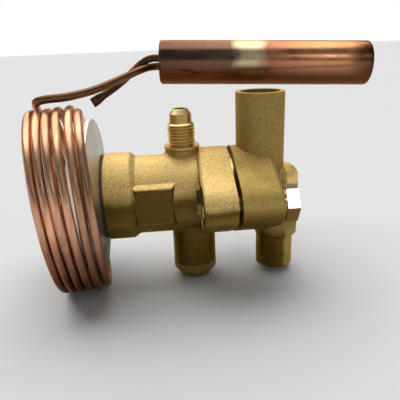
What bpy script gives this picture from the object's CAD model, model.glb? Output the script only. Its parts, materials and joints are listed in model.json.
"""Finishes, fine shapes and stage for a refrigerant expansion valve with capillary and bulb."""

import json
import math

import bpy
from mathutils import Matrix, Vector


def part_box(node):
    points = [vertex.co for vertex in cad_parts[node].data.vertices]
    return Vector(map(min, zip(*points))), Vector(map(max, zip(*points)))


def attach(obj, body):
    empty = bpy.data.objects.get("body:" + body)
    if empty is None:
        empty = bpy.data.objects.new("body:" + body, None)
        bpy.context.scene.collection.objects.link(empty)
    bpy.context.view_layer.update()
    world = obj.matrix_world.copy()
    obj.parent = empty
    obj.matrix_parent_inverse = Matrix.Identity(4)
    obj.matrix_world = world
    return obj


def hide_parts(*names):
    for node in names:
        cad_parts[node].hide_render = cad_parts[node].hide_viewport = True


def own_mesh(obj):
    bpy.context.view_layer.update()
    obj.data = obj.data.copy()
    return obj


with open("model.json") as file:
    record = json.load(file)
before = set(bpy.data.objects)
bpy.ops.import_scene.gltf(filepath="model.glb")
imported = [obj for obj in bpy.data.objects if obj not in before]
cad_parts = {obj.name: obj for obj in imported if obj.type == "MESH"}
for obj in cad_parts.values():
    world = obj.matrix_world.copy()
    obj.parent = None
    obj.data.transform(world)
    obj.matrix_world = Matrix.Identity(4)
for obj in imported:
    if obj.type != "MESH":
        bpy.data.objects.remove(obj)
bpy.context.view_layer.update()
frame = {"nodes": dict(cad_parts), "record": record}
nodes = frame["nodes"]
bpy.ops.object.select_all(action="DESELECT")

# ------------------------------------------------------------------ sizes and places, metres
MAIN_AXIS_Z = -0.0403
FLOOR_Z, FLOOR_SIZE = -0.0790, 30
FLARE_X = -0.0326
SHOULDER_Z = MAIN_AXIS_Z + 0.0202
THREAD_TOP_Z = MAIN_AXIS_Z + 0.0294
THREAD_CREST, THREAD_ROOT, THREAD_PITCH = 0.00555, 0.00482, 0.00127
RIDGE_RADIUS, RIDGE_SINK, RIDGE_TURNS, RIDGE_STEPS = 0.00070, 0.00040, 9, 48
RIDGE_START_Z = SHOULDER_Z - 0.0012
THREAD_TOP_CHAMFER, THREAD_FOOT_CHAMFER = 0.0007, 0.0009
TURNED_FROM_Z = MAIN_AXIS_Z + 0.01925
BOLT_ACROSS = 0.0221
BOLT_BAR_RADIUS, BOLT_BAR_LENGTH = 0.0086, 0.040
BOLT_CHAMFER, BOLT_CHAMFER_SHARE = 0.0006, 0.88
BOLT_EDGE, CAP_EDGE = 0.00014, 0.00018
CREASE, FLAT = math.radians(28), math.radians(0.5)
TOUCHING = 1e-6
ROUND_SIDES = 96
BULB_START = (-0.0389, 0.0308, 0.0518 + MAIN_AXIS_Z)
BULB_DIRECTION = (0.9942, -0.0995, -0.0395)
BULB_LENGTH = 0.0935

# Where one finish gives way to the next: each pair is where it starts and where it is complete
STUBS_Z = (MAIN_AXIS_Z - 0.0160, MAIN_AXIS_Z - 0.0200)
FLANGE_SEAM_X = (0.0088, 0.0102)
RUBBED_TOPS_Z = (MAIN_AXIS_Z + 0.0115, MAIN_AXIS_Z + 0.0150)
OUTER_DOME_Z = (MAIN_AXIS_Z + 0.001, MAIN_AXIS_Z + 0.003)
GRIMY_HEAD_Z = (MAIN_AXIS_Z + 0.004, MAIN_AXIS_Z - 0.018)
COIL_Z = (MAIN_AXIS_Z - 0.038, MAIN_AXIS_Z + 0.038)
COIL_AXIS = (1.0, -0.13, -0.08)
TURN_BY_HEAD = (-0.0642, -0.0622)
LEAD_Z = (MAIN_AXIS_Z + 0.0370, MAIN_AXIS_Z + 0.0400)
STREAK_BELOW, STREAK_WIDTH = 0.004, 0.0009

# Colours that bare metal takes at a grazing view
BRASS_EDGE = (0.92, 0.78, 0.52)
COPPER_EDGE = (0.9, 0.66, 0.52)

# ------------------------------------------------------------------ shader node helpers


def node(tree, kind, at, **inputs):
    """A node of one kind at a place in the tree, with named inputs set or linked."""
    made = tree.nodes.new(kind)
    made.location = at
    for name, value in inputs.items():
        feed(tree, made.inputs[name.replace("_", " ")], value)
    return made


def feed(tree, socket, value):
    """Links a socket to a socket, or sets it to a plain value."""
    if isinstance(value, bpy.types.NodeSocket):
        tree.links.new(value, socket)
    else:
        socket.default_value = value


def ramp(tree, at, factor, *stops):
    """A colour ramp: each stop is (position, colour)."""
    made = tree.nodes.new("ShaderNodeValToRGB")
    made.location = at
    tree.links.new(factor, made.inputs["Fac"])
    elements = made.color_ramp.elements
    while len(elements) < len(stops):
        elements.new(0.5)
    for element, (position, colour) in zip(elements, stops):
        element.position = position
        element.color = (*colour, 1)
    return made.outputs["Color"]


def blend(tree, at, factor, under, over, mode="MIX"):
    """One colour laid over another."""
    made = tree.nodes.new("ShaderNodeMix")
    made.location = at
    made.data_type = "RGBA"
    made.blend_type = mode
    for index, value in ((0, factor), (6, under), (7, over)):
        if isinstance(value, tuple):
            value = (*value, 1)
        feed(tree, made.inputs[index], value)
    return made.outputs[2]


def maths(tree, at, operation, *values):
    """One step of arithmetic on values or sockets."""
    made = tree.nodes.new("ShaderNodeMath")
    made.location = at
    made.operation = operation
    for socket, value in zip(made.inputs, values):
        feed(tree, socket, value)
    return made.outputs[0]


def between(tree, at, value, low, high, to_low=0.0, to_high=1.0):
    """A value moved evenly from one range to another, and held at its ends."""
    made = node(
        tree,
        "ShaderNodeMapRange",
        at,
        Value=value,
        From_Min=low,
        From_Max=high,
        To_Min=to_low,
        To_Max=to_high,
    )
    return made.outputs["Result"]


def distance_along(tree, at, place, axis):
    """How far a place lies along an axis."""
    made = tree.nodes.new("ShaderNodeVectorMath")
    made.operation = "DOT_PRODUCT"
    made.location = at
    tree.links.new(place, made.inputs[0])
    made.inputs[1].default_value = axis
    return made.outputs["Value"]


def shader_group(name, inputs, outputs):
    """An empty node group with named inputs (name, kind, value) and outputs (name, kind)."""
    tree = bpy.data.node_groups.new(name, "ShaderNodeTree")
    for label, kind, value in inputs:
        socket = tree.interface.new_socket(
            name=label, in_out="INPUT", socket_type="NodeSocket" + kind
        )
        if value is not None:
            socket.default_value = value
    for label, kind in outputs:
        tree.interface.new_socket(name=label, in_out="OUTPUT", socket_type="NodeSocket" + kind)
    start = tree.nodes.new("NodeGroupInput")
    start.location = (-1000, 0)
    end = tree.nodes.new("NodeGroupOutput")
    end.location = (400, 0)
    return tree, start.outputs, end.inputs


def use(tree, group, at, **inputs):
    """A node group placed in a material, with its own values."""
    made = tree.nodes.new("ShaderNodeGroup")
    made.node_tree = group
    made.location = at
    for name, value in inputs.items():
        feed(tree, made.inputs[name.replace("_", " ")], value)
    return made.outputs


# ------------------------------------------------------------------ shared surface effects


def make_blasted_grain():
    """Shot-blasted skin: fine rounded pits, and the light and dark speckle that they show."""
    tree, given, put = shader_group(
        "blasted_grain",
        [("Vector", "Vector", None), ("Size", "Float", 1500.0), ("Speckle", "Float", 0.3)],
        [("Height", "Float"), ("Shade", "Float")],
    )
    here = given["Vector"]
    coarse = node(tree, "ShaderNodeTexNoise", (-700, 200), Vector=here, Scale=given["Size"], Detail=2.0)
    fine_size = maths(tree, (-850, -200), "MULTIPLY", given["Size"], 2.3)
    fine = node(tree, "ShaderNodeTexNoise", (-700, -100), Vector=here, Scale=fine_size, Detail=1.0)
    height = maths(tree, (-400, 100), "MULTIPLY_ADD", fine.outputs["Fac"], 0.5, coarse.outputs["Fac"])
    tree.links.new(height, put["Height"])
    spread = between(tree, (-400, -200), coarse.outputs["Fac"], 0.3, 0.7, -1.0, 1.0)
    shade = maths(tree, (-150, -200), "MULTIPLY_ADD", spread, given["Speckle"], 1.0)
    tree.links.new(shade, put["Shade"])
    return tree


def make_patches():
    """Soft uneven patches, such as tarnish, handling marks or drawn-on oil."""
    tree, given, put = shader_group(
        "patches",
        [
            ("Vector", "Vector", None),
            ("Size", "Float", 90.0),
            ("Low", "Float", 0.4),
            ("High", "Float", 0.6),
        ],
        [("Mask", "Float")],
    )
    cloud = node(
        tree,
        "ShaderNodeTexNoise",
        (-700, 0),
        Vector=given["Vector"],
        Scale=given["Size"],
        Detail=5.0,
        Distortion=0.4,
    )
    mask = between(tree, (-400, 0), cloud.outputs["Fac"], given["Low"], given["High"])
    tree.links.new(mask, put["Mask"])
    return tree


def make_specks():
    """Scattered dark dots: dirt and small dents."""
    tree, given, put = shader_group(
        "specks",
        [("Vector", "Vector", None), ("Size", "Float", 400.0), ("Reach", "Float", 0.12)],
        [("Mask", "Float")],
    )
    cells = node(tree, "ShaderNodeTexVoronoi", (-700, 0), Vector=given["Vector"], Scale=given["Size"])
    thin = node(tree, "ShaderNodeTexNoise", (-700, -300), Vector=given["Vector"], Scale=60.0, Detail=2.0)
    gathered = between(tree, (-500, -400), thin.outputs["Fac"], 0.45, 0.7)
    reach = maths(tree, (-500, -200), "MULTIPLY", gathered, given["Reach"])
    mask = maths(tree, (-300, 0), "LESS_THAN", cells.outputs["Distance"], reach)
    tree.links.new(mask, put["Mask"])
    return tree


def make_turning_marks():
    """Fine tool rings, evenly spaced along a value."""
    tree, given, put = shader_group(
        "turning_marks",
        [("Along", "Float", 0.0), ("Spacing", "Float", 0.0002), ("Vector", "Vector", None)],
        [("Height", "Float")],
    )
    steps = maths(tree, (-700, 0), "DIVIDE", given["Along"], given["Spacing"])
    wander = node(
        tree, "ShaderNodeTexNoise", (-700, -200), Vector=given["Vector"], Scale=900.0, Detail=2.0
    )
    turned = maths(tree, (-500, 0), "MULTIPLY_ADD", wander.outputs["Fac"], 0.8, steps)
    wave = maths(tree, (-300, 0), "SINE", maths(tree, (-400, 0), "MULTIPLY", turned, 2 * math.pi))
    tree.links.new(wave, put["Height"])
    return tree


def make_underside():
    """How far a surface faces down, 0 on top to 1 beneath: where tarnish stays unpolished."""
    tree, given, put = shader_group(
        "underside",
        [("Normal", "Vector", None), ("Top", "Float", 0.2), ("Low", "Float", -0.6)],
        [("Mask", "Float")],
    )
    parts = node(tree, "ShaderNodeSeparateXYZ", (-700, 0), Vector=given["Normal"])
    mask = between(tree, (-400, 0), parts.outputs["Z"], given["Top"], given["Low"])
    tree.links.new(mask, put["Mask"])
    return tree


blasted_grain = make_blasted_grain()
patches = make_patches()
specks = make_specks()
turning_marks = make_turning_marks()
underside = make_underside()

# ------------------------------------------------------------------ materials


def new_material(name, metallic=1.0, edge=(1.0, 1.0, 1.0)):
    """An empty material: itself, its tree, its shader and the places that patterns read."""
    material = bpy.data.materials.new(name)
    material.use_nodes = True
    tree = material.node_tree
    shader = tree.nodes["Principled BSDF"]
    shader.inputs["Metallic"].default_value = metallic
    shader.inputs["Specular Tint"].default_value = (*edge, 1)
    place = tree.nodes.new("ShaderNodeTexCoord")
    place.location = (-1400, 0)
    return material, tree, shader, place.outputs


def bump(tree, shader, at, height, strength, distance, normal=None):
    """Fine relief on a material, over another normal if one is given."""
    made = node(tree, "ShaderNodeBump", at, Height=height, Strength=strength, Distance=distance)
    if normal is not None:
        tree.links.new(normal, made.inputs["Normal"])
    tree.links.new(made.outputs["Normal"], shader.inputs["Normal"])


def soft_edges(tree, at, radius):
    """The surface's normal with its sharp edges eased."""
    made = node(tree, "ShaderNodeBevel", at, Radius=radius)
    made.samples = 4
    return made.outputs["Normal"]


def forged_brass(name, *facings):
    """Shot-blasted forging: pale gold where it faces up, handled brown on its sides and beneath."""
    material, tree, shader, place = new_material(name, edge=BRASS_EDGE)
    here = place["Object"]
    grain = use(tree, blasted_grain, (-900, -300), Vector=here, Size=1500.0, Speckle=0.24)
    uneven = use(tree, patches, (-1100, 300), Vector=here, Size=70.0, Low=0.35, High=0.65)["Mask"]
    upward = use(tree, underside, (-1100, 100), Normal=place["Normal"], Top=-1.0, Low=1.0)["Mask"]
    centred = maths(tree, (-1050, 150), "SUBTRACT", upward, 0.02)
    shifted = maths(tree, (-1000, 200), "MULTIPLY_ADD", uneven, 0.04, centred)
    worn = ramp(tree, (-850, 300), shifted, *facings)
    parts = node(tree, "ShaderNodeSeparateXYZ", (-1100, -100), Vector=here)
    stubs = between(tree, (-900, 0), parts.outputs["Z"], *STUBS_Z)
    dark = use(tree, patches, (-1100, -500), Vector=here, Size=110.0, Low=0.3, High=0.7)["Mask"]
    brown = blend(tree, (-850, -500), dark, (0.10, 0.048, 0.008), (0.165, 0.098, 0.018))
    seam = between(tree, (-900, -400), parts.outputs["X"], *FLANGE_SEAM_X)
    seen_seam = maths(tree, (-800, -400), "MULTIPLY", seam, 0.8)
    olive = blend(tree, (-700, -500), seen_seam, brown, (0.40, 0.29, 0.085))
    high = between(tree, (-900, 500), parts.outputs["Z"], *RUBBED_TOPS_Z)
    rubbed = blend(tree, (-650, 450), high, worn, (0.36, 0.250, 0.080), "LIGHTEN")
    above = between(tree, (-900, 700), parts.outputs["Z"], *OUTER_DOME_Z)
    outer = maths(tree, (-750, 700), "MULTIPLY", above, seam)
    domed = blend(tree, (-550, 500), outer, rubbed, (0.92, 0.66, 0.25), "LIGHTEN")
    colour = blend(tree, (-450, 300), stubs, domed, olive)
    dots = use(tree, specks, (-900, -700), Vector=here, Size=330.0, Reach=0.10)["Mask"]
    faint_dots = maths(tree, (-450, -600), "MULTIPLY", dots, 0.5)
    dotted = blend(tree, (-300, 300), faint_dots, colour, (0.12, 0.07, 0.02))
    shaded = blend(tree, (-150, 300), 1.0, dotted, grain["Shade"], "MULTIPLY")
    tree.links.new(shaded, shader.inputs["Base Color"])
    tree.links.new(between(tree, (-300, 0), stubs, 0.0, 1.0, 0.58, 0.36), shader.inputs["Roughness"])
    strength = between(tree, (-300, -200), stubs, 0.0, 1.0, 0.6, 0.12)
    bump(tree, shader, (-150, -250), grain["Height"], strength, 0.00025)
    return material


def turned_brass():
    """Bright lathe-turned brass with tool rings across its axis."""
    material, tree, shader, place = new_material("turned_brass", edge=(0.95, 0.80, 0.52))
    here = place["Object"]
    parts = node(tree, "ShaderNodeSeparateXYZ", (-1200, -100), Vector=here)
    height = parts.outputs["Z"]
    rings = use(tree, turning_marks, (-900, -200), Along=height, Spacing=0.00022, Vector=here)["Height"]
    uneven = use(tree, patches, (-1100, 300), Vector=here, Size=160.0, Low=0.35, High=0.7)["Mask"]
    upper = blend(tree, (-700, 300), uneven, (0.99, 0.79, 0.40), (0.92, 0.70, 0.31))
    beneath = use(tree, underside, (-900, 100), Normal=place["Normal"], Top=0.45, Low=0.05)["Mask"]
    colour = blend(tree, (-500, 300), beneath, upper, (0.45, 0.31, 0.098))
    tree.links.new(colour, shader.inputs["Base Color"])
    tree.links.new(between(tree, (-500, 0), uneven, 0.0, 1.0, 0.26, 0.34), shader.inputs["Roughness"])
    bump(tree, shader, (-300, -200), rings, 0.25, 0.00002, soft_edges(tree, (-600, -400), 0.00012))
    return material


def polished_brass():
    """Cage turned and polished to a bright pale gold."""
    material, tree, shader, place = new_material("polished_brass", edge=(0.98, 0.86, 0.58))
    here = place["Object"]
    shine = use(tree, patches, (-900, 200), Vector=here, Size=240.0, Low=0.3, High=0.7)["Mask"]
    colour = blend(tree, (-500, 300), shine, (0.96, 0.80, 0.44), (0.90, 0.70, 0.34))
    tree.links.new(colour, shader.inputs["Base Color"])
    tree.links.new(between(tree, (-500, 0), shine, 0.0, 1.0, 0.18, 0.28), shader.inputs["Roughness"])
    marks = node(tree, "ShaderNodeTexNoise", (-700, -200), Vector=here, Scale=900.0, Detail=3.0)
    bump(tree, shader, (-300, -200), marks.outputs["Fac"], 0.1, 0.00003)
    return material


def cap_brass():
    """Cap turned from bar, darkened with handling."""
    material, tree, shader, place = new_material("cap_brass", edge=BRASS_EDGE)
    here = place["Object"]
    parts = node(tree, "ShaderNodeSeparateXYZ", (-1200, -100), Vector=here)
    height = parts.outputs["Z"]
    rings = use(tree, turning_marks, (-900, -200), Along=height, Spacing=0.0003, Vector=here)["Height"]
    uneven = use(tree, patches, (-1100, 300), Vector=here, Size=130.0, Low=0.3, High=0.7)["Mask"]
    colour = blend(tree, (-700, 300), uneven, (0.22, 0.140, 0.040), (0.31, 0.205, 0.065))
    tree.links.new(colour, shader.inputs["Base Color"])
    tree.links.new(between(tree, (-500, 0), uneven, 0.0, 1.0, 0.28, 0.4), shader.inputs["Roughness"])
    bump(tree, shader, (-300, -200), rings, 0.2, 0.00002, soft_edges(tree, (-600, -400), 0.0002))
    return material


def stamped_steel():
    """Stamped stainless, pickled to a dull warm grey."""
    material, tree, shader, place = new_material("stamped_steel", edge=(0.72, 0.66, 0.60))
    here = place["Object"]
    uneven = use(tree, patches, (-1100, 300), Vector=here, Size=75.0, Low=0.35, High=0.65)["Mask"]
    grey = blend(tree, (-850, 300), uneven, (0.76, 0.72, 0.67), (0.65, 0.61, 0.56))
    raised = use(tree, underside, (-1100, 150), Normal=place["Normal"], Top=0.25, Low=0.8)["Mask"]
    lit = blend(tree, (-750, 300), raised, grey, (0.95, 0.89, 0.80))
    beneath = use(tree, underside, (-1100, 100), Normal=place["Normal"], Top=-0.1, Low=-0.6)["Mask"]
    parts = node(tree, "ShaderNodeSeparateXYZ", (-1300, -200), Vector=here)
    rise = maths(tree, (-1150, -200), "SUBTRACT", parts.outputs["Z"], MAIN_AXIS_Z)
    across = maths(tree, (-1050, -300), "MULTIPLY", parts.outputs["Y"], parts.outputs["Y"])
    square = maths(tree, (-950, -200), "MULTIPLY_ADD", rise, rise, across)
    radius = maths(tree, (-850, -200), "SQRT", square)
    grimy = between(tree, (-1100, 0), parts.outputs["Z"], *GRIMY_HEAD_Z)
    dirt = maths(tree, (-900, 0), "MAXIMUM", beneath, grimy)
    colour = blend(tree, (-650, 300), dirt, lit, (0.075, 0.052, 0.036))
    rings = use(tree, turning_marks, (-700, -200), Along=radius, Spacing=0.00035, Vector=here)["Height"]
    skin = use(tree, blasted_grain, (-900, -500), Vector=here, Size=900.0, Speckle=0.07)
    shaded = blend(tree, (-400, 300), 1.0, colour, skin["Shade"], "MULTIPLY")
    tree.links.new(shaded, shader.inputs["Base Color"])
    tree.links.new(between(tree, (-500, 0), uneven, 0.0, 1.0, 0.36, 0.48), shader.inputs["Roughness"])
    height = maths(tree, (-400, -400), "MULTIPLY_ADD", rings, 0.12, skin["Height"])
    bump(tree, shader, (-200, -300), height, 0.2, 0.0001)
    return material


def bright_plating():
    """Bright zinc plate with a faint yellow passivation."""
    material, tree, shader, place = new_material("bright_plating")
    here = place["Object"]
    uneven = use(tree, patches, (-1100, 300), Vector=here, Size=200.0, Low=0.35, High=0.7)["Mask"]
    beneath = use(tree, underside, (-1100, 100), Normal=place["Normal"], Top=0.1, Low=-0.3)["Mask"]
    light = blend(tree, (-850, 300), uneven, (0.80, 0.66, 0.44), (0.72, 0.58, 0.37))
    colour = blend(tree, (-650, 300), beneath, light, (0.22, 0.135, 0.042))
    tree.links.new(colour, shader.inputs["Base Color"])
    tree.links.new(between(tree, (-500, 0), uneven, 0.0, 1.0, 0.10, 0.15), shader.inputs["Roughness"])
    scuffs = node(tree, "ShaderNodeTexNoise", (-700, -200), Vector=here, Scale=700.0, Detail=4.0)
    bump(tree, shader, (-300, -200), scuffs.outputs["Fac"], 0.04, 0.00002)
    return material


def drawn_copper():
    """Capillary copper: salmon on top of the coil, browner towards the bench and where it was heated."""
    material, tree, shader, place = new_material("drawn_copper", edge=COPPER_EDGE)
    here = place["Object"]
    parts = node(tree, "ShaderNodeSeparateXYZ", (-1500, -100), Vector=here)
    uneven = use(tree, patches, (-1300, 300), Vector=here, Size=120.0, Low=0.38, High=0.62)["Mask"]
    height = between(tree, (-1300, 0), parts.outputs["Z"], *COIL_Z)
    shifted = maths(tree, (-1100, 100), "MULTIPLY_ADD", uneven, 0.06, height)
    coil = ramp(
        tree,
        (-950, 300),
        shifted,
        (0.0, (0.085, 0.026, 0.013)),
        (0.22, (0.165, 0.060, 0.034)),
        (0.42, (0.34, 0.150, 0.090)),
        (0.56, (0.72, 0.390, 0.245)),
        (0.75, (0.68, 0.380, 0.235)),
        (0.95, (0.66, 0.390, 0.235)),
    )
    across_turns = distance_along(tree, (-1300, -500), here, COIL_AXIS)
    turns = tree.nodes.new("ShaderNodeTexNoise")
    turns.noise_dimensions = "1D"
    turns.location = (-1100, -300)
    tree.links.new(across_turns, turns.inputs["W"])
    turns.inputs["Scale"].default_value = 260.0
    tone = between(tree, (-900, -300), turns.outputs["Fac"], 0.3, 0.7, 0.72, 1.18)
    toned = blend(tree, (-700, 300), 1.0, coil, tone, "MULTIPLY")
    near_head = between(tree, (-900, -500), across_turns, *TURN_BY_HEAD)
    half_shaded = maths(tree, (-700, -500), "MULTIPLY", near_head, 0.5)
    olive = blend(tree, (-550, 300), half_shaded, toned, (0.25, 0.135, 0.080))
    lead = between(tree, (-1100, -150), parts.outputs["Z"], *LEAD_Z)
    brown = blend(tree, (-400, 300), lead, olive, (0.16, 0.078, 0.046))
    dots = use(tree, specks, (-900, -700), Vector=here, Size=420.0, Reach=0.16)["Mask"]
    faint_dots = maths(tree, (-450, -600), "MULTIPLY", dots, 0.6)
    dotted = blend(tree, (-250, 300), faint_dots, brown, (0.06, 0.030, 0.020))
    tree.links.new(dotted, shader.inputs["Base Color"])
    tree.links.new(maths(tree, (-300, 0), "MULTIPLY_ADD", uneven, 0.08, 0.30), shader.inputs["Roughness"])
    dents = node(tree, "ShaderNodeTexNoise", (-700, -200), Vector=here, Scale=380.0, Detail=3.0)
    bump(tree, shader, (-200, -300), dents.outputs["Fac"], 0.10, 0.00015)
    return material


def bulb_copper():
    """Bulb copper: brown heat tint by the brazed end, a silvery band, then bright orange."""
    material, tree, shader, place = new_material("bulb_copper", edge=COPPER_EDGE)
    here = place["Object"]
    back_to_start = tuple(-c for c in BULB_START)
    move = node(tree, "ShaderNodeMapping", (-1300, 200), Vector=here, Location=back_to_start)
    spot = move.outputs["Vector"]
    along = distance_along(tree, (-1100, 200), spot, BULB_DIRECTION)
    share = maths(tree, (-900, 200), "DIVIDE", along, BULB_LENGTH)
    cloud = node(
        tree, "ShaderNodeTexNoise", (-1100, -100), Vector=here, Scale=75.0, Detail=5.0, Distortion=0.5
    )
    waver = maths(tree, (-900, -100), "MULTIPLY_ADD", cloud.outputs["Fac"], 0.16, -0.08)
    parts = node(tree, "ShaderNodeSeparateXYZ", (-1100, -400), Vector=spot)
    slanted = maths(tree, (-750, 100), "ADD", share, waver)
    tint = ramp(
        tree,
        (-550, 300),
        slanted,
        (0.0, (0.12, 0.062, 0.040)),
        (0.16, (0.155, 0.080, 0.056)),
        (0.34, (0.17, 0.100, 0.064)),
        (0.40, (0.62, 0.52, 0.315)),
        (0.47, (0.66, 0.54, 0.335)),
        (0.53, (0.38, 0.165, 0.090)),
        (0.75, (0.60, 0.285, 0.140)),
        (0.90, (0.52, 0.240, 0.115)),
        (0.975, (0.060, 0.022, 0.013)),
    )
    beneath = use(tree, underside, (-750, -400), Normal=place["Normal"], Top=0.05, Low=-0.6)["Mask"]
    low = blend(tree, (-250, 300), beneath, tint, (0.12, 0.04, 0.02))
    from_streak = maths(tree, (-1050, -600), "ADD", parts.outputs["Z"], STREAK_BELOW)
    off_streak = maths(tree, (-1000, -600), "ABSOLUTE", from_streak)
    streak = between(tree, (-900, -600), off_streak, STREAK_WIDTH, 0.0)
    faint_streak = maths(tree, (-700, -600), "MULTIPLY", streak, 0.6)
    lined = blend(tree, (-100, 300), faint_streak, low, (0.14, 0.06, 0.04))
    dots = use(tree, specks, (-900, -800), Vector=here, Size=350.0, Reach=0.15)["Mask"]
    faint_dots = maths(tree, (-500, -800), "MULTIPLY", dots, 0.5)
    dotted = blend(tree, (50, 300), faint_dots, lined, (0.10, 0.05, 0.035))
    tree.links.new(dotted, shader.inputs["Base Color"])
    rough = between(tree, (-300, 0), cloud.outputs["Fac"], 0.35, 0.65, 0.20, 0.36)
    tree.links.new(rough, shader.inputs["Roughness"])
    bump(tree, shader, (-200, -300), cloud.outputs["Fac"], 0.12, 0.0006)
    shader.location = (300, 300)
    return material


def scorched_copper():
    """Pinched fill tube, brown and dull from the torch."""
    material, tree, shader, place = new_material("scorched_copper", edge=(0.6, 0.4, 0.28))
    here = place["Object"]
    soot = use(tree, patches, (-900, 200), Vector=here, Size=260.0, Low=0.35, High=0.65)["Mask"]
    colour = blend(tree, (-500, 300), soot, (0.060, 0.027, 0.015), (0.105, 0.050, 0.028))
    tree.links.new(colour, shader.inputs["Base Color"])
    tree.links.new(between(tree, (-500, 0), soot, 0.0, 1.0, 0.50, 0.38), shader.inputs["Roughness"])
    dents = node(tree, "ShaderNodeTexNoise", (-700, -200), Vector=here, Scale=450.0, Detail=3.0)
    bump(tree, shader, (-300, -200), dents.outputs["Fac"], 0.2, 0.0002)
    return material


def spring_wire():
    """Drawn spring wire, oiled dark grey."""
    material, tree, shader, place = new_material("spring_wire")
    streaks = node(tree, "ShaderNodeTexNoise", (-700, 0), Vector=place["Object"], Scale=500.0, Detail=3.0)
    streak = streaks.outputs["Fac"]
    colour = ramp(tree, (-450, 200), streak, (0.3, (0.22, 0.22, 0.23)), (0.7, (0.34, 0.34, 0.35)))
    tree.links.new(colour, shader.inputs["Base Color"])
    tree.links.new(between(tree, (-450, -100), streak, 0.3, 0.7, 0.28, 0.42), shader.inputs["Roughness"])
    bump(tree, shader, (-250, -250), streak, 0.15, 0.00005)
    return material


def dull_sheet(name, dark, light, roughness, size):
    """Rubber or pressed fibre: nearly black, finely uneven."""
    material, tree, shader, place = new_material(name, metallic=0.0)
    fibre = node(tree, "ShaderNodeTexNoise", (-700, 0), Vector=place["Object"], Scale=size, Detail=5.0)
    colour = ramp(tree, (-450, 200), fibre.outputs["Fac"], (0.35, dark), (0.65, light))
    tree.links.new(colour, shader.inputs["Base Color"])
    worn = between(tree, (-450, -100), fibre.outputs["Fac"], 0.3, 0.7, roughness - 0.08, roughness + 0.08)
    tree.links.new(worn, shader.inputs["Roughness"])
    bump(tree, shader, (-250, -250), fibre.outputs["Fac"], 0.4, 0.0001)
    return material


body_brass = forged_brass(
    "forged_brass",
    (0.0, (0.18, 0.112, 0.026)),
    (0.30, (0.29, 0.185, 0.048)),
    (0.47, (0.140, 0.080, 0.018)),
    (0.53, (0.170, 0.100, 0.024)),
    (0.58, (0.45, 0.315, 0.110)),
    (0.66, (0.78, 0.560, 0.210)),
    (0.78, (0.80, 0.575, 0.225)),
    (0.93, (0.66, 0.475, 0.190)),
    (0.98, (0.78, 0.560, 0.235)),
)
flange_brass = forged_brass(
    "flange_brass",
    (0.0, (0.13, 0.078, 0.017)),
    (0.35, (0.18, 0.110, 0.027)),
    (0.50, (0.31, 0.210, 0.062)),
    (0.62, (0.52, 0.368, 0.122)),
    (0.78, (0.48, 0.340, 0.108)),
    (0.93, (0.41, 0.290, 0.088)),
    (0.99, (0.62, 0.440, 0.150)),
)
bright_brass = turned_brass()
finishes = {
    "forged_brass": body_brass,
    "machined_brass": bright_brass,
    "stainless_steel": stamped_steel(),
    "spring_steel": spring_wire(),
    "plated_steel": bright_plating(),
    "copper": drawn_copper(),
    "seal_rubber": dull_sheet(
        "seal_rubber", dark=(0.012, 0.012, 0.013), light=(0.022, 0.022, 0.022), roughness=0.5, size=900.0
    ),
    "gasket_fibre": dull_sheet(
        "gasket_fibre", dark=(0.025, 0.026, 0.026), light=(0.06, 0.06, 0.058), roughness=0.85, size=1600.0
    ),
}
for piece in frame["record"]["subparts"]:
    cad = nodes[piece["node"]]
    cad.data.materials.clear()
    cad.data.materials.append(finishes[piece["material_slot"]])


def refinish(name, material):
    """Gives one CAD node a finish of its own."""
    nodes[name].data.materials[0] = material


refinish("body_flange", flange_brass)
refinish("cage_body", polished_brass())
refinish("seal_cap", cap_brass())
refinish("sensing_bulb", bulb_copper())
refinish("bulb_fill_stub", scorched_copper())

# ------------------------------------------------------------------ modelling helpers


def select_only(piece):
    """Makes one piece the active and only selected one."""
    bpy.ops.object.select_all(action="DESELECT")
    piece.select_set(True)
    bpy.context.view_layer.objects.active = piece


def edit_all(piece):
    """Leaves edit mode open with the whole mesh selected."""
    select_only(piece)
    bpy.ops.object.mode_set(mode="EDIT")
    bpy.ops.mesh.select_all(action="SELECT")


def worked_copy(cad_name, name):
    """A CAD node's own copy with its triangles joined up, ready to be worked on."""
    piece = nodes[cad_name].copy()
    piece.data = piece.data.copy()
    piece.name = name
    piece.parent = None
    bpy.context.scene.collection.objects.link(piece)
    edit_all(piece)
    bpy.ops.mesh.remove_doubles(threshold=TOUCHING)
    bpy.ops.object.mode_set(mode="OBJECT")
    if piece.data.has_custom_normals:
        bpy.ops.mesh.customdata_custom_splitnormals_clear()
    bpy.ops.object.shade_smooth_by_angle(angle=CREASE)
    return piece


def apply_modifier(piece, kind, **settings):
    """Adds one modifier with its settings and applies it."""
    select_only(piece)
    modifier = piece.modifiers.new(kind.lower(), kind)
    for name, value in settings.items():
        setattr(modifier, name, value)
    bpy.ops.object.modifier_apply(modifier=modifier.name)


def settle(piece):
    """Puts a piece's place and turn into its mesh."""
    select_only(piece)
    bpy.ops.object.transform_apply(location=True, rotation=True, scale=True)


def select_where(piece, kind, chosen):
    """Leaves edit mode open with only the polygons or vertices that the rule picks selected."""
    select_only(piece)
    bpy.ops.object.mode_set(mode="EDIT")
    bpy.context.tool_settings.mesh_select_mode = (kind == "vertices", False, kind == "polygons")
    bpy.ops.mesh.select_all(action="DESELECT")
    bpy.ops.object.mode_set(mode="OBJECT")
    for part in getattr(piece.data, kind):
        part.select = chosen(part)
    bpy.ops.object.mode_set(mode="EDIT")


def clean_flats(piece):
    """Joins the triangles of each flat face into one."""
    edit_all(piece)
    bpy.ops.mesh.dissolve_limited(angle_limit=FLAT)
    bpy.ops.object.mode_set(mode="OBJECT")


def ease_edges(piece, width):
    """Cuts a small flat along every sharp edge."""
    apply_modifier(piece, "BEVEL", width=width, segments=1, limit_method="ANGLE", angle_limit=CREASE)
    select_only(piece)
    bpy.ops.object.shade_smooth_by_angle(angle=CREASE)


# ------------------------------------------------------------------ flare thread on the power body


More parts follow.
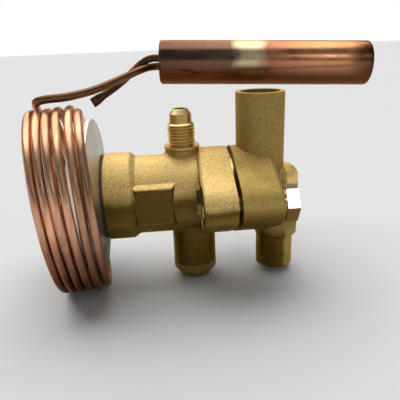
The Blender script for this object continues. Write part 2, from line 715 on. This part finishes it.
def make_thread():
    """A ridge wound round the root cylinder, cut to a flat crest and chamfered at both ends."""
    bpy.ops.mesh.primitive_circle_add(
        vertices=3,
        radius=RIDGE_RADIUS,
        fill_type="NOTHING",
        location=(THREAD_ROOT + RIDGE_RADIUS - RIDGE_SINK, 0, 0),
        rotation=(math.pi / 2, math.pi / 2, 0),
    )
    ridge = bpy.context.object
    ridge.name = "flare_thread"
    settle(ridge)
    apply_modifier(
        ridge,
        "SCREW",
        angle=2 * math.pi,
        screw_offset=THREAD_PITCH,
        iterations=RIDGE_TURNS,
        steps=RIDGE_STEPS,
        render_steps=RIDGE_STEPS,
        axis="Z",
    )
    last = len(ridge.data.vertices) - 1
    for ends in ((0, 1, 2), (last, last - 1, last - 2)):
        select_where(ridge, "vertices", lambda vertex: vertex.index in ends)
        bpy.ops.mesh.edge_face_add()
        bpy.ops.object.mode_set(mode="OBJECT")
    edit_all(ridge)
    bpy.ops.mesh.normals_make_consistent(inside=False)
    bpy.ops.object.mode_set(mode="OBJECT")
    ridge.location = (FLARE_X, 0, RIDGE_START_Z)
    settle(ridge)
    # The blank that trims the ridge to length and crest
    bpy.ops.mesh.primitive_cylinder_add(
        vertices=ROUND_SIDES,
        radius=THREAD_CREST,
        depth=THREAD_TOP_Z - SHOULDER_Z,
        location=(FLARE_X, 0, (THREAD_TOP_Z + SHOULDER_Z) / 2),
    )
    blank = bpy.context.object
    settle(blank)
    for side, chamfer in ((1, THREAD_TOP_CHAMFER), (-1, THREAD_FOOT_CHAMFER)):
        select_where(blank, "polygons", lambda face: face.normal.z * side > 0.9)
        bpy.ops.mesh.bevel(offset=chamfer, segments=1)
        bpy.ops.object.mode_set(mode="OBJECT")
    apply_modifier(ridge, "BOOLEAN", operation="INTERSECT", object=blank, solver="EXACT")
    bpy.data.objects.remove(blank)
    return ridge


def on_thread_rim(vertex):
    """Whether a vertex of the body lies on either end of the plain thread cylinder."""
    reach = math.hypot(vertex.co.x - FLARE_X, vertex.co.y)
    at_end = min(abs(vertex.co.z - SHOULDER_Z), abs(vertex.co.z - THREAD_TOP_Z)) < 2e-5
    return at_end and abs(reach - THREAD_CREST) < 5e-5


power_body = worked_copy("valve_body", "power_body")
select_where(power_body, "vertices", on_thread_rim)
squeeze = THREAD_ROOT / THREAD_CREST
bpy.ops.transform.resize(value=(squeeze, squeeze, 1), center_override=(FLARE_X, 0, SHOULDER_Z))
bpy.ops.object.mode_set(mode="OBJECT")

thread = make_thread()
thread.data.materials.clear()
thread.data.materials.append(bright_brass)
for face in thread.data.polygons:
    face.use_smooth = False
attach(thread, "valve")

power_body.data.materials.append(bright_brass)
for face in power_body.data.polygons:
    if face.center.z > TURNED_FROM_Z:
        face.material_index = 1
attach(power_body, "valve")
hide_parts("valve_body")


# ------------------------------------------------------------------ flange bolts


def bolt_envelope(across, head_top):
    """A round bar round one bolt, coned at the head end as the forging's chamfer is."""
    bpy.ops.mesh.primitive_cylinder_add(
        vertices=ROUND_SIDES,
        radius=BOLT_BAR_RADIUS,
        depth=BOLT_BAR_LENGTH,
        location=(head_top - BOLT_CHAMFER - BOLT_BAR_LENGTH / 2, across, MAIN_AXIS_Z),
        rotation=(0, math.pi / 2, 0),
    )
    envelope = bpy.context.object
    settle(envelope)
    select_where(envelope, "polygons", lambda face: face.normal.x > 0.9)
    bpy.ops.mesh.extrude_region_move(TRANSFORM_OT_translate={"value": (BOLT_CHAMFER, 0, 0)})
    bpy.ops.transform.resize(
        value=(1, BOLT_CHAMFER_SHARE, BOLT_CHAMFER_SHARE), center_override=(head_top, across, MAIN_AXIS_Z)
    )
    bpy.ops.object.mode_set(mode="OBJECT")
    return envelope


bolts = worked_copy("flange_bolts", "hexagon_bolts")
clean_flats(bolts)
head_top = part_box("flange_bolts")[1][0]
first = bolt_envelope(-BOLT_ACROSS, head_top)
second = bolt_envelope(BOLT_ACROSS, head_top)
select_only(first)
second.select_set(True)
bpy.ops.object.join()
apply_modifier(bolts, "BOOLEAN", operation="INTERSECT", object=first, solver="EXACT")
bpy.data.objects.remove(first)
ease_edges(bolts, BOLT_EDGE)
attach(bolts, "valve")
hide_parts("flange_bolts")

# ------------------------------------------------------------------ seal cap
cap = worked_copy("seal_cap", "hexagon_cap")
clean_flats(cap)
ease_edges(cap, CAP_EDGE)
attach(cap, "seal_cap")
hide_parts("seal_cap")


# ------------------------------------------------------------------ springs that shorten


def shortening_spring(cad_name):
    """A spring's own copy that shortens against its fixed seat as its joint moves."""
    spring = worked_copy(cad_name, cad_name + "_wire")
    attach(spring, "valve")
    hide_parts(cad_name)
    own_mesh(spring)


shortening_spring("pin_spring")
shortening_spring("superheat_spring")

# ------------------------------------------------------------------ floor, light, camera
bpy.ops.mesh.primitive_plane_add(size=FLOOR_SIZE, location=(0, 0, FLOOR_Z))
floor = bpy.context.object
floor.name = "floor"
paper = bpy.data.materials.new("paper")
paper.use_nodes = True
tree = paper.node_tree
shader = tree.nodes["Principled BSDF"]
shader.inputs["Base Color"].default_value = (0.72, 0.72, 0.72, 1)
shader.inputs["Roughness"].default_value = 0.9
floor.data.materials.append(paper)

world = bpy.data.worlds.new("studio")
bpy.context.scene.world = world
world.use_nodes = True
tree = world.node_tree
background = tree.nodes["Background"]
sky = node(tree, "ShaderNodeTexCoord", (-900, 0)).outputs["Generated"]
height = node(tree, "ShaderNodeSeparateXYZ", (-700, 0), Vector=sky).outputs["Z"]
bright_wall, dim_ceiling = (1.0, 1.0, 1.0), (0.17, 0.17, 0.17)
room = ramp(
    tree,
    (-450, 0),
    height,
    (0.0, bright_wall),
    (0.12, bright_wall),
    (0.24, dim_ceiling),
    (1.0, dim_ceiling),
)
tree.links.new(room, background.inputs["Color"])
background.inputs["Strength"].default_value = 1.0


def softbox(name, at, look_at, size, power):
    """A square lamp that faces a point."""
    bpy.ops.object.light_add(type="AREA", location=at)
    lamp = bpy.context.object
    lamp.name = name
    lamp.data.size = size
    lamp.data.energy = power
    lamp.rotation_euler = (Vector(look_at) - Vector(at)).to_track_quat("-Z", "Y").to_euler()


bpy.ops.object.light_add(type="SUN", location=(0, 0, 1))
overhead = bpy.context.object
overhead.name = "overhead_lamp"
overhead.data.energy = 3.0
overhead.data.angle = math.radians(80)
towards_light = Vector((-0.12, 0.48, 1))
overhead.rotation_euler = towards_light.to_track_quat("Z", "Y").to_euler()
near_bolt = (0.0082, -0.0276, -0.0369)
softbox("front_lamp", at=(0.157, -0.373, 0.293), look_at=near_bolt, size=0.10, power=0.10)

camera_data = bpy.data.cameras.new("camera")
camera = bpy.data.objects.new("camera", camera_data)
bpy.context.scene.collection.objects.link(camera)
camera_data.sensor_width = 36
camera_data.lens = 38.99
camera_data.clip_start = 0.01
right = Vector((0.9944, -0.0990, -0.0375))
up = Vector((0.0684, 0.3307, 0.9413))
back = Vector((-0.0808, -0.9385, 0.3356))
turn = Matrix((right, up, back)).transposed()
standpoint = Vector((-0.04109, -0.17552, 0.01799))
camera.matrix_world = Matrix.Translation(standpoint) @ turn.to_4x4()
bpy.context.scene.camera = camera

bpy.context.scene.view_settings.view_transform = "Standard"
